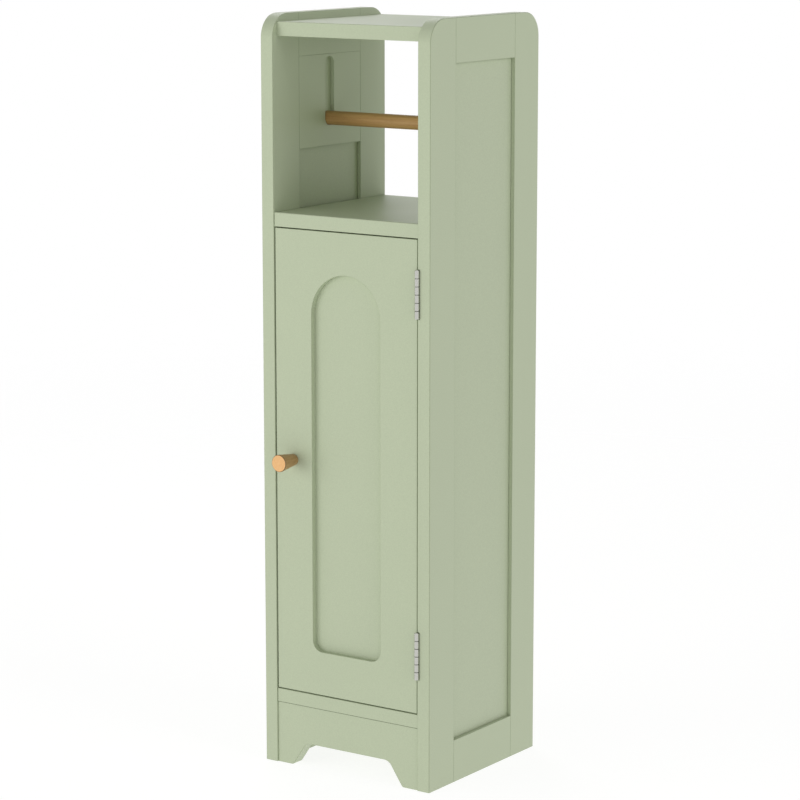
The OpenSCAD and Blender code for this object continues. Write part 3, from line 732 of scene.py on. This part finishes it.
@dataclass
class SubAssembly:
    """A group of pieces."""

    body: Body = Body.CARCASS  # what its pieces ride on

    def piece(self, name: str, mesh: Mesh, finish: Finish, node: str,
              *others: Finish) -> bpy.types.Object:
        """Puts a finished mesh in the scene, on its body and in place of its CAD node.

        Args:
            name: The piece's name.
            mesh: Its mesh, already in place.
            finish: What it is made of.
            node: The CAD node that it stands for.
            others: The finish of its faces numbered 1, 2 and so on, if some have their own.
        """
        numbers = [face.material_index if others else 0 for face in mesh.polygons]
        mesh.materials.clear()
        for coat in (finish, *others):
            mesh.materials.append(material(coat))
        mesh.polygons.foreach_set("material_index", numbers)
        made = in_scene(name, mesh)
        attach(made, self.body.value)
        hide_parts(node)
        LOG.info("%s: %d faces, %s, on %s", name, len(mesh.polygons), finish.name,
                 self.body.value)
        return made

    def eased(self, node: str, finish: Finish, easing: Easing, arris: Finish | None = None,
              joint: Finish | None = None) -> None:
        """Makes a CAD node's piece with eased edges, whose arris and seam faces can take a
        darker finish with painted shade.
        """
        arris = arris or finish
        made = self.piece(node + "_finished", eased_mesh(node, easing), finish, node, arris,
                          joint or arris)
        even = made.modifiers.new("flat_faces_stay_flat", "WEIGHTED_NORMAL")
        even.keep_sharp = True
        even.weight = 100

    def kept(self, node: str, finish: Finish) -> None:
        """Gives a CAD node that keeps its own mesh its finish."""
        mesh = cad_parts[node].data
        mesh.materials.clear()
        mesh.materials.append(material(finish))
        LOG.info("%s: kept, %s", node, finish.name)

    def fittings(self, name: str, node: str, fitting: Mesh, finish: Finish,
                 way: Callable[[Box], Vector]) -> None:
        """Makes one piece with a fitting at every solid of a node, each turned its own way.

        Args:
            name: The piece's name.
            node: The CAD node.
            fitting: One fitting, made along +Z from the origin. It is used up.
            finish: What it is made of.
            way: Gives the way that the fitting in a box points.
        """
        places = [Place.in_box(box, way(box)) for box in islands(node)]
        points = bpy.data.meshes.new("places")
        points.from_pydata([place.at for place in places], [], [])
        along = points.attributes.new("along", "FLOAT_VECTOR", "POINT")
        for value, place in zip(along.data, places):
            value.vector = place.along
        item = in_scene("fitting", fitting)
        mesh = run_tree(set_out_tree(), points, {"Fitting": item, "Finish": material(finish)})
        bpy.data.objects.remove(item)
        bpy.data.meshes.remove(fitting)
        smooth(mesh)
        self.piece(name, mesh, finish, node)


@dataclass
class SideFrame(SubAssembly):
    """Two stiles, two rails, a centre panel and the slotted rod plate of one side."""

    side: Side = Side.RIGHT
    arris_mm: float = 0.6  # radius on the free edges
    seam_mm: float = 0.38  # radius where stile and rail meet, and round the inner face
    plate_shortest_mm: float = 0.8  # shorter edges of the rod plate stay crisp

    def node(self, part: str) -> str:
        """The CAD node of one of its parts."""
        return f"{self.side.value}_{part}"

    def build(self) -> None:
        """Makes the frame's six pieces."""
        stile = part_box(self.node("front_stile"))
        seams = ((Axis.Y, stile[1].y), (Axis.Y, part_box(self.node("rear_stile"))[0].y),
                 (Axis.X, stile[0].x if self.side is Side.RIGHT else stile[1].x))
        easing = Easing(self.arris_mm, self.seam_mm, seams=seams, crisp=hinge_seats("frame"))
        for part in ("front_stile", "rear_stile", "top_rail", "bottom_rail"):
            self.eased(self.node(part), SAGE_LACQUER, easing, SAGE_ARRIS)
        self.eased(self.node("panel"), SAGE_LACQUER, Easing(self.seam_mm))
        self.eased(self.node("rod_plate"), SAGE_LACQUER,
                   Easing(self.seam_mm, shortest_mm=self.plate_shortest_mm), SAGE_ARRIS)


@dataclass
class Carcass(SubAssembly):
    """The boards between the side frames, the apron and the back panel."""

    arris_mm: float = 0.5  # radius on the free edges
    board_seam_mm: float = 0.45  # radius where a board meets a side frame or the apron
    top_seam_mm: float = 0.15  # radius where the top board meets the side frames
    apron_seam_mm: float = 0.3  # radius where the apron meets them, and on the back panel
    apron_shortest_mm: float = 0.3  # shorter edges of the apron stay crisp

    def build(self) -> None:
        """Makes the boards, the apron and the back panel."""
        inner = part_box("right_front_stile")[0].x
        floor_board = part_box("bottom_board")[0].z
        seams = ((Axis.X, -inner), (Axis.X, inner), (Axis.Z, floor_board))
        easing = Easing(self.arris_mm, self.board_seam_mm, seams=seams)
        for node in ("middle_shelf", "bottom_board", "inner_shelf"):
            self.eased(node, SAGE_LACQUER, easing, SAGE_ARRIS, SAGE_JOINT)
        self.eased("top_board", SAGE_LACQUER,
                   Easing(self.arris_mm, self.top_seam_mm, seams=seams), SAGE_ARRIS)
        self.eased("apron", SAGE_LACQUER,
                   Easing(self.arris_mm, self.apron_seam_mm, self.apron_shortest_mm, seams),
                   SAGE_ARRIS, SAGE_JOINT)
        self.eased("back_panel", SAGE_LACQUER, Easing(self.apron_seam_mm))


@dataclass
class Door(SubAssembly):
    """The inset door with its routed arch, and the turned knob with its fixings."""

    body: Body = Body.DOOR
    arris_mm: float = 0.35  # radius on its edges and round the mouth of the arch
    rim_mm: float = 0.9  # radius round the knob's free end
    foot_edge_mm: float = 0.3  # chamfer on the knob's foot
    knob_sides: int = 96
    screw_head_high_mm: float = 2.6
    screw_shank_mm: float = 4.0

    def build(self) -> None:
        """Makes the door, the knob, its insert, screw and washer."""
        self.eased("door", SAGE_LACQUER, Easing(self.arris_mm, crisp=hinge_seats("door")),
                   SAGE_ARRIS)
        self.knob()
        head, length, _ = sizes_mm(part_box("knob_screw"))
        screw = Screw(head, self.screw_head_high_mm, self.screw_shank_mm, length,
                      countersunk=False, pitch_mm=0.7, cross_mm=0.9, cross_deep_mm=1.6)
        self.fittings("knob_machine_screw", "knob_screw", screw.mesh(), ZINC_PLATE,
                      lambda box: TO_FRONT)
        self.kept("knob_insert", TURNED_BRASS)
        self.kept("knob_washer", ZINC_PLATE)

    def knob(self) -> None:
        """Turns the knob: a cone that widens towards its free end, bored for the insert."""
        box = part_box("knob")
        width, length, _ = sizes_mm(box)
        bore_width, bore_deep, _ = sizes_mm(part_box("knob_insert"))
        place = Place.in_box(box, TO_FRONT)
        work = closed_copy("knob")
        foot = max(abs(vert.co.x - place.at.x) for vert in work.verts
                   if abs(vert.co.y - place.at.y) < TOUCH) / MM
        work.free()
        bore, rim, edge = bore_width / 2, self.rim_mm, self.foot_edge_mm
        profile = ([(0, bore_deep), (bore, bore_deep), (bore, 0)]
                   + [(foot - edge, 0), (foot, edge)]
                   + arc((width / 2 - rim, length - rim), rim, 0, 90) + [(0, length)])
        mesh = turned("knob_turned", profile, self.knob_sides, place.matrix)
        free_end = box[0].y
        # The free end takes the copy with painted light, and the rim takes the copy with painted
        # shade.
        for face in mesh.polygons:
            if face.center.y < free_end + rim * MM:
                face.material_index = END if face.center.y < free_end + TOUCH else RIM
        self.piece("turned_knob", mesh, KNOB_BEECH, "knob", KNOB_END, KNOB_RIM)


@dataclass
class RollRod(SubAssembly):
    """The loose rod, turned with a broken edge at each end."""

    body: Body = Body.ROD
    edge_mm: float = 1.0  # radius on its ends
    sides: int = 72

    def build(self) -> None:
        """Turns the rod."""
        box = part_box("roll_rod")
        length, _, width = sizes_mm(box)
        edge = self.edge_mm
        inner = width / 2 - edge
        profile = ([(0, 0)] + arc((inner, edge), edge, -90, 0)
                   + arc((inner, length - edge), edge, 0, 90) + [(0, length)])
        place = Place.in_box(box, lengthwise(box))
        mesh = turned("rod_turned", profile, self.sides, place.matrix)
        self.piece("turned_roll_rod", mesh, ROD_BEECH, "roll_rod")


@dataclass
class Hinge(SubAssembly):
    """One butt hinge: the leaf on the side frame, the leaf on the door, and the pin."""

    level: Level = Level.UPPER
    edge_mm: float = 0.22  # radius on the pressed edges
    knuckles: int = 6  # on both leaves together
    joint_mm: float = 0.35  # room between two knuckles
    knuckle_mm: float = 0.25  # radius on the knuckles' ends
    shortest_mm: float = 0.05
    dome_mm: float = 0.4  # height of the pin's domed ends
    pin_sides: int = 32

    def build(self) -> None:
        """Makes both leaves and the pin."""
        name = self.level.value
        low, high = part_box(f"{name}_hinge_frame_leaf")
        pitch = (high.z - low.z) / self.knuckles
        ends = tuple((Axis.Z, low.z + i * pitch + side * self.joint_mm * MM / 2)
                     for i in range(1, self.knuckles) for side in (-1, 1))
        easing = Easing(self.edge_mm, self.knuckle_mm, self.shortest_mm, seams=ends, steps=2)
        for leaf, body in (("door", Body.DOOR), ("frame", Body.CARCASS)):
            self.body = body
            # Painted shade: the knuckles' ends take NICKEL_JOINT, a darker nickel.
            self.eased(f"{name}_hinge_{leaf}_leaf", SATIN_NICKEL, easing, joint=NICKEL_JOINT)
        self.pin()

    def pin(self) -> None:
        """Turns the pin, whose ends are domed."""
        node = f"{self.level.value}_hinge_pin"
        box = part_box(node)
        width, _, length = sizes_mm(box)
        rise = dome(width / 2, self.dome_mm)
        profile = rise + [(radius, length - height) for radius, height in reversed(rise)]
        mesh = turned(node + "_turned", profile, self.pin_sides, Place.in_box(box, UP).matrix)
        self.piece(node + "_turned", mesh, SATIN_NICKEL, node)


@dataclass
class HingeScrews(SubAssembly):
    """The countersunk screws of one set of hinge leaves."""

    node: str = "frame_leaf_screws"
    inwards: int = 1  # 1 where they are driven towards +X, -1 where towards -X
    head_high_mm: float = 1.05
    shank_mm: float = 2.6

    def build(self) -> None:
        """Sets out the screws."""
        length, _, head = sizes_mm(islands(self.node)[0])
        screw = Screw(head, self.head_high_mm, self.shank_mm, length, countersunk=True)
        self.fittings(self.node + "_set", self.node, screw.mesh(), SATIN_NICKEL,
                      lambda box: Vector((self.inwards, 0, 0)))


@dataclass
class MagneticCatch(SubAssembly):
    """The catch under the middle shelf and its strike plate on the door."""

    edge_mm: float = 0.35  # radius on the moulded housing
    magnet_mm: float = 0.25  # radius on the tumbled magnet
    plate_mm: float = 0.15  # radius on the stamped plates
    plate_shortest_mm: float = 0.4
    housing_screw: Screw = Screw(head_mm=4.8, head_high_mm=1.8, shank_mm=2.4, length_mm=13.8,
                                 countersunk=False)
    strike_screw: Screw = Screw(head_mm=4.8, head_high_mm=1.2, shank_mm=2.4, length_mm=7.2,
                                countersunk=True)

    def build(self) -> None:
        """Makes the housing, magnet, pole plates and strike, and sets out their screws."""
        stamped = Easing(self.plate_mm, shortest_mm=self.plate_shortest_mm, steps=2)
        self.body = Body.CARCASS
        self.eased("catch_housing", WHITE_PLASTIC, Easing(self.edge_mm))
        self.eased("catch_magnet", FERRITE, Easing(self.magnet_mm))
        self.eased("catch_pole_plates", ZINC_PLATE, stamped)
        self.fittings("catch_screw_set", "catch_screws", self.housing_screw.mesh(), ZINC_PLATE,
                      lambda box: UP)
        self.body = Body.DOOR
        self.eased("strike_plate", ZINC_PLATE, stamped)
        self.fittings("strike_screw_set", "strike_screws", self.strike_screw.mesh(), ZINC_PLATE,
                      lambda box: TO_FRONT)


@dataclass
class KnockDownFittings(SubAssembly):
    """What holds the boards between the side frames, and the pins under the inner shelf."""

    flutes: int = 18
    flute_mm: float = 0.25  # depth of a dowel's flutes
    chamfer_mm: float = 0.8  # on a dowel's ends
    cam_edge_mm: float = 0.2  # radius on the cast cam locks
    cam_shortest_mm: float = 0.9
    bolt_sides: int = 28
    pin_sides: int = 36

    def build(self) -> None:
        """Sets out the dowels, cam bolts and shelf pins, and eases the cam locks."""
        self.dowels()
        self.cam_bolts()
        self.shelf_pins()
        self.eased("cam_locks", CAST_ZINC,
                   Easing(self.cam_edge_mm, shortest_mm=self.cam_shortest_mm, steps=1))

    def dowels(self) -> None:
        """Makes one fluted dowel and sets it out at every place."""
        low, high = islands("wooden_dowels")[0]
        width, _, length = sorted(high - low)
        one = run_tree(dowel_tree(), bpy.data.meshes.new("seed"),
                       {"Length": length, "Diameter": width, "Chamfer": self.chamfer_mm * MM,
                        "Flutes": self.flutes, "Flute Depth": self.flute_mm * MM,
                        "Finish": material(DOWEL_BEECH)})
        self.fittings("fluted_dowels", "wooden_dowels", one, DOWEL_BEECH, lengthwise)

    def cam_bolts(self) -> None:
        """Turns one cam bolt and sets it out: thread outwards, head in its cam lock."""
        length = sizes_mm(islands("cam_bolts")[0])[0]
        head, neck, core, tip = 3.0, 2.5, 2.3, 1.8  # radii
        head_high, edge, threaded, taper = 3.0, 0.3, 10, 0.8  # heights
        turns, pitch, root_from, root_to, crest = 6, 1.5, 0.2, 0.7, 1.1
        start = length - threaded
        points = [(0, 0), (head - edge, 0), (head, edge), (head, head_high - edge),
                  (neck, head_high), (neck, start)]
        for turn in range(turns):
            low = start + pitch * turn
            points += [(core, low + root_from), (core, low + root_to), (head, low + crest)]
        points += [(core, length - taper), (tip, length), (0, length)]
        bolt = turned("cam_bolt", points, self.bolt_sides)
        self.fittings("cam_bolt_set", "cam_bolts", bolt, ZINC_PLATE, outwards)

    def shelf_pins(self) -> None:
        """Turns one shelf pin with its collar and a domed end, and sets it out."""
        length, _, width = sizes_mm(islands("shelf_pins")[0])
        radius, collar = 2.5, width / 2
        rounding, edge, chamfer = 0.6, 0.2, 0.5
        thick, outer = 1.0, 8.0  # the collar's thickness and its far face
        inner = outer - thick
        points = ([(0, 0)] + arc((radius - rounding, rounding), rounding, -90, 0, 4)
                  + [(radius, inner), (collar - edge, inner), (collar, inner + edge),
                     (collar, outer), (radius, outer), (radius, length - chamfer),
                     (radius - chamfer, length), (0, length)])
        pin = turned("shelf_pin", points, self.pin_sides)
        self.fittings("shelf_pin_set", "shelf_pins", pin, ZINC_PLATE, outwards)


# ---- studio ----


@dataclass(frozen=True)
class Lamp:
    """A soft square lamp."""

    name: str
    at: Point
    aim: Point  # what it points at
    width: float  # its side
    watts: float
    mirrored: bool = False  # whether glossy surfaces show it

    def hang(self) -> None:
        """Puts the lamp in the scene."""
        data = bpy.data.lights.new(self.name, "AREA")
        data.shape = "SQUARE"
        data.size = self.width
        data.energy = self.watts
        lamp = in_scene(self.name, data)
        lamp.location = self.at
        way = Vector(self.aim) - Vector(self.at)
        lamp.rotation_euler = way.to_track_quat("-Z", "Y").to_euler()
        lamp.visible_glossy = self.mirrored


@dataclass(frozen=True)
class Studio:
    """Camera, white surroundings, pale floor and soft lamps."""

    eye: Point = (1.74729, -2.51947, 0.94867)  # found from the photograph's corners
    yaw_deg: float = 34.62  # to the left
    pitch_deg: float = -10.29  # upwards
    focal_px: float = 2935.67  # in pixels of the photograph
    image_px: int = 800  # the photograph's side
    sensor_mm: float = 36.0
    horizon: float = 0.72  # level of the light from the horizon and below
    zenith: float = 0.28  # level of the light from above
    zenith_from: float = 0.8  # upward part of a direction from which that holds
    floor_radius: float = 3.0
    floor_sides: int = 96
    fade_from: float = 0.9  # where the floor starts to fade
    floor_drop: float = 0.0003  # how far it lies under the feet
    floor_white: str = "#F2F2F0"
    shadow: float = 0.3  # how much of the lamps' light and shade the eye sees on it
    seen_glow: float = 1.21  # its own glow, as seen
    cast_share: float = 0.63  # share of its own glow in what it throws on the cabinet
    cast_glow: float = 1.38  # that glow
    lamps: tuple[Lamp, ...] = (
        Lamp("key_lamp", (-1.8, -2.8, 0.42), (0.0, 0.0, 0.34), width=2.8, watts=52.0),
        Lamp("side_lamp", (2.8, -0.2, 1.8), (0.0, 0.0, 0.55), width=1.4, watts=15.5),
        Lamp("rim_lamp", (-1.4, 1.35, 2.2), (0.0, 0.0, 0.6), width=1.1, watts=9.0,
             mirrored=True),
    )

    def build(self) -> None:
        """Sets up the view, the surroundings, the floor and the lamps."""
        bpy.context.scene.view_settings.view_transform = "Standard"
        self.camera()
        self.world()
        self.floor()
        for lamp in self.lamps:
            lamp.hang()

    def camera(self) -> None:
        """Stands the camera where the photograph was taken from."""
        data = bpy.data.cameras.new("camera")
        data.sensor_width = self.sensor_mm
        data.lens = self.focal_px / self.image_px * self.sensor_mm
        camera = in_scene("camera", data)
        camera.location = self.eye
        camera.rotation_euler = (math.radians(90 + self.pitch_deg), 0,
                                 math.radians(self.yaw_deg))
        bpy.context.scene.camera = camera

    @staticmethod
    def looked_at(tree: Any) -> Any:
        """The node that gives 1 for camera, glossy and transmission rays, otherwise 0."""
        path = add(tree, "ShaderNodeLightPath").outputs
        plain = add(tree, "ShaderNodeMath", (path["Is Camera Ray"], path["Is Glossy Ray"]),
                    operation="MAXIMUM")
        return add(tree, "ShaderNodeMath", (plain, path["Is Transmission Ray"]),
                   operation="MAXIMUM")

    def world(self) -> None:
        """Plain light from all round, which is seen as white."""
        world = bpy.data.worlds.new("white_surroundings")
        bpy.context.scene.world = world
        tree = cleared(world)
        way = add(tree, "ShaderNodeTexCoord").outputs["Generated"]
        split = add(tree, "ShaderNodeSeparateXYZ", {0: way})
        level = add(tree, "ShaderNodeMapRange", (split.outputs["Z"], 0.0, self.zenith_from,
                                                 self.horizon, self.zenith))
        light = add(tree, "ShaderNodeBackground", (WHITE, level))
        white = add(tree, "ShaderNodeBackground", (WHITE, 1.0))
        both = add(tree, "ShaderNodeMixShader", (self.looked_at(tree), light, white))
        add(tree, "ShaderNodeOutputWorld", {"Surface": both})

    def floor(self) -> None:
        """A round pale floor with a light shadow, which fades out far away and from below."""
        work = bmesh.new()
        bmesh.ops.create_circle(work, cap_ends=True, radius=self.floor_radius,
                                segments=self.floor_sides,
                                matrix=Matrix.Translation((0, 0, -self.floor_drop)))
        bmesh.ops.recalc_face_normals(work, faces=work.faces)
        mesh = bpy.data.meshes.new("floor")
        work.to_mesh(mesh)
        work.free()
        mesh.materials.append(self.floor_material())
        floor = in_scene("studio_floor", mesh)

    def floor_material(self) -> bpy.types.Material:
        """The floor's matt and glowing surface, clear where it fades and from below."""
        made = bpy.data.materials.new("pale_studio_floor")
        tree = cleared(made)
        matt = add(tree, "ShaderNodeBsdfDiffuse", {"Color": linear(self.floor_white)})
        seen = self.looked_at(tree)
        share = add(tree, "ShaderNodeMapRange",
                    (seen, 0.0, 1.0, self.cast_share, 1 - self.shadow))
        glow = add(tree, "ShaderNodeMapRange",
                   (seen, 0.0, 1.0, self.cast_glow, self.seen_glow))
        lit = add(tree, "ShaderNodeEmission", (WHITE, glow))
        pale = add(tree, "ShaderNodeMixShader", (share, matt, lit))
        place = add(tree, "ShaderNodeTexCoord").outputs["Object"]
        far = add(tree, "ShaderNodeVectorMath", {0: place}, operation="LENGTH")
        fade = add(tree, "ShaderNodeMapRange",
                   (far.outputs["Value"], self.fade_from, self.floor_radius),
                   interpolation_type="SMOOTHSTEP")
        under = add(tree, "ShaderNodeNewGeometry").outputs["Backfacing"]
        gone = add(tree, "ShaderNodeMath", (fade, under), operation="MAXIMUM")
        clear = add(tree, "ShaderNodeBsdfTransparent")
        whole = add(tree, "ShaderNodeMixShader", (gone, pale, clear))
        add(tree, "ShaderNodeOutputMaterial", {"Surface": whole})
        return made


def main() -> None:
    """Builds the studio and the cabinet, sub-assembly by sub-assembly."""
    logging.basicConfig(level=logging.INFO, format="%(name)s: %(message)s")
    for part in (Studio(), *(SideFrame(side=side) for side in Side), Carcass(), Door(),
                 RollRod(), *(Hinge(level=level) for level in Level), HingeScrews(),
                 HingeScrews(Body.DOOR, "door_leaf_screws", inwards=-1), MagneticCatch(),
                 KnockDownFittings()):
        part.build()


if __name__ == "__main__":
    main()
